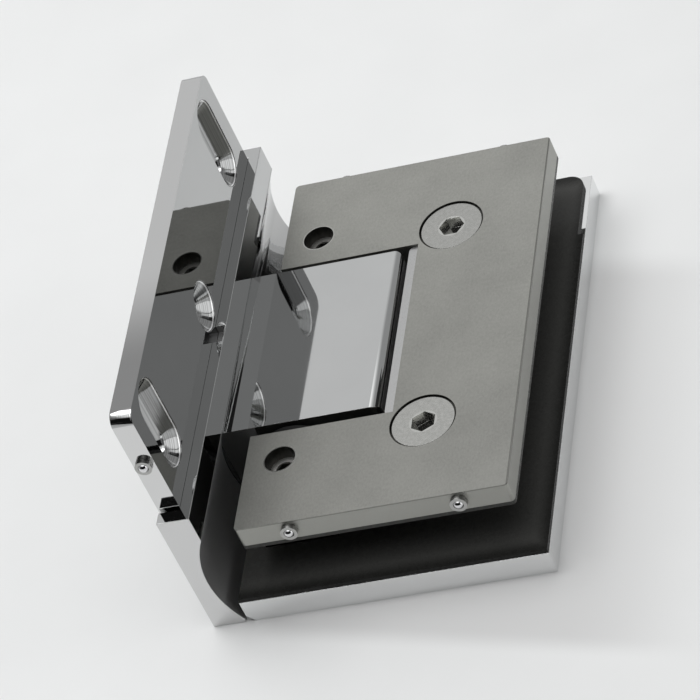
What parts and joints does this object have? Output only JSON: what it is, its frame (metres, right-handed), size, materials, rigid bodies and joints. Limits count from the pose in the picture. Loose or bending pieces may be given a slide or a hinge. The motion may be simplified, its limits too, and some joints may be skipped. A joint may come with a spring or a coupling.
{
  "type": "glass door hinge",
  "caption": "Wall-to-glass shower door hinge: one-sided slotted wall plate, pivot block and a clamping leaf with gaskets, front covers off.",
  "frame": {"origin": "centre of the wall plate's back face, which lies against the wall", "axes": "+X from the wall towards the glass, +Y up along the pivot, +Z from the back covers to the front side; the hinge lies on its back covers"},
  "size_m": [0.0606, 0.09, 0.0475],
  "materials": {
    "chrome_plating": "polished chrome plating",
    "brushed_stainless": "fine matte grain",
    "black_gasket": "smooth semi-gloss",
    "screw_steel": "satin, turned",
    "set_screw_steel": "dark, oiled",
    "satin_plating": "satin plating",
    "bush_plastic": "moulded acetal",
    "saddle_plastic": "moulded nylon",
    "sleeve_steel": "plain turned",
    "ball_steel": "polished",
    "spring_steel": "drawn and hardened"
  },
  "bodies": {
    "wall_side": {"wall_plate": "chrome_plating", "back_wall_cover": "chrome_plating", "pivot_block": "chrome_plating", "block_screws": "screw_steel", "upper_bush": "bush_plastic", "lower_bush": "bush_plastic", "front_detent_spring": "spring_steel", "back_detent_spring": "spring_steel", "front_spring_saddle": "saddle_plastic", "back_spring_saddle": "saddle_plastic", "wall_plate_plungers": "sleeve_steel", "wall_covered_balls": "ball_steel", "wall_covered_springs": "spring_steel", "upper_wall_ball_spring": "spring_steel", "lower_wall_ball_spring": "spring_steel"},
    "leaf": {"pivot_pin": "screw_steel", "front_clamp_plate": "brushed_stainless", "back_clamp_plate": "brushed_stainless", "front_gasket": "black_gasket", "back_gasket": "black_gasket", "fork_strip": "satin_plating", "back_leaf_cover": "chrome_plating", "upper_clamp_screw": "screw_steel", "lower_clamp_screw": "screw_steel", "upper_set_screw": "set_screw_steel", "lower_set_screw": "set_screw_steel", "front_plate_plungers": "sleeve_steel", "back_plate_plungers": "sleeve_steel", "leaf_covered_balls": "ball_steel", "leaf_covered_springs": "spring_steel", "upper_near_ball_spring": "spring_steel", "upper_far_ball_spring": "spring_steel", "lower_near_ball_spring": "spring_steel", "lower_far_ball_spring": "spring_steel"},
    "upper_wall_ball": {"upper_wall_ball": "ball_steel"},
    "lower_wall_ball": {"lower_wall_ball": "ball_steel"},
    "upper_near_ball": {"upper_near_ball": "ball_steel"},
    "upper_far_ball": {"upper_far_ball": "ball_steel"},
    "lower_near_ball": {"lower_near_ball": "ball_steel"},
    "lower_far_ball": {"lower_far_ball": "ball_steel"}
  },
  "joints": [
    {"name": "leaf_swing", "type": "hinge", "parent": "wall_side", "child": "leaf", "pos_m": [0.0163, 0, -0.01565], "axis": [0, 1, 0], "range_deg": [-90, 90], "deforming": ["front_detent_spring", "back_detent_spring"]},
    {"name": "upper_wall_ball_press", "type": "slide", "parent": "wall_side", "child": "upper_wall_ball", "axis": [0, -1, 0], "range_m": [0, 0.00045], "stiffness_N_per_m": 500, "deforming": ["upper_wall_ball_spring"]},
    {"name": "lower_wall_ball_press", "type": "slide", "parent": "wall_side", "child": "lower_wall_ball", "axis": [0, 1, 0], "range_m": [0, 0.00045], "stiffness_N_per_m": 500, "deforming": ["lower_wall_ball_spring"]},
    {"name": "upper_near_ball_press", "type": "slide", "parent": "leaf", "child": "upper_near_ball", "axis": [0, -1, 0], "range_m": [0, 0.00045], "stiffness_N_per_m": 500, "deforming": ["upper_near_ball_spring"]},
    {"name": "upper_far_ball_press", "type": "slide", "parent": "leaf", "child": "upper_far_ball", "axis": [0, -1, 0], "range_m": [0, 0.00045], "stiffness_N_per_m": 500, "deforming": ["upper_far_ball_spring"]},
    {"name": "lower_near_ball_press", "type": "slide", "parent": "leaf", "child": "lower_near_ball", "axis": [0, 1, 0], "range_m": [0, 0.00045], "stiffness_N_per_m": 500, "deforming": ["lower_near_ball_spring"]},
    {"name": "lower_far_ball_press", "type": "slide", "parent": "leaf", "child": "lower_far_ball", "axis": [0, 1, 0], "range_m": [0, 0.00045], "stiffness_N_per_m": 500, "deforming": ["lower_far_ball_spring"]}
  ]
}
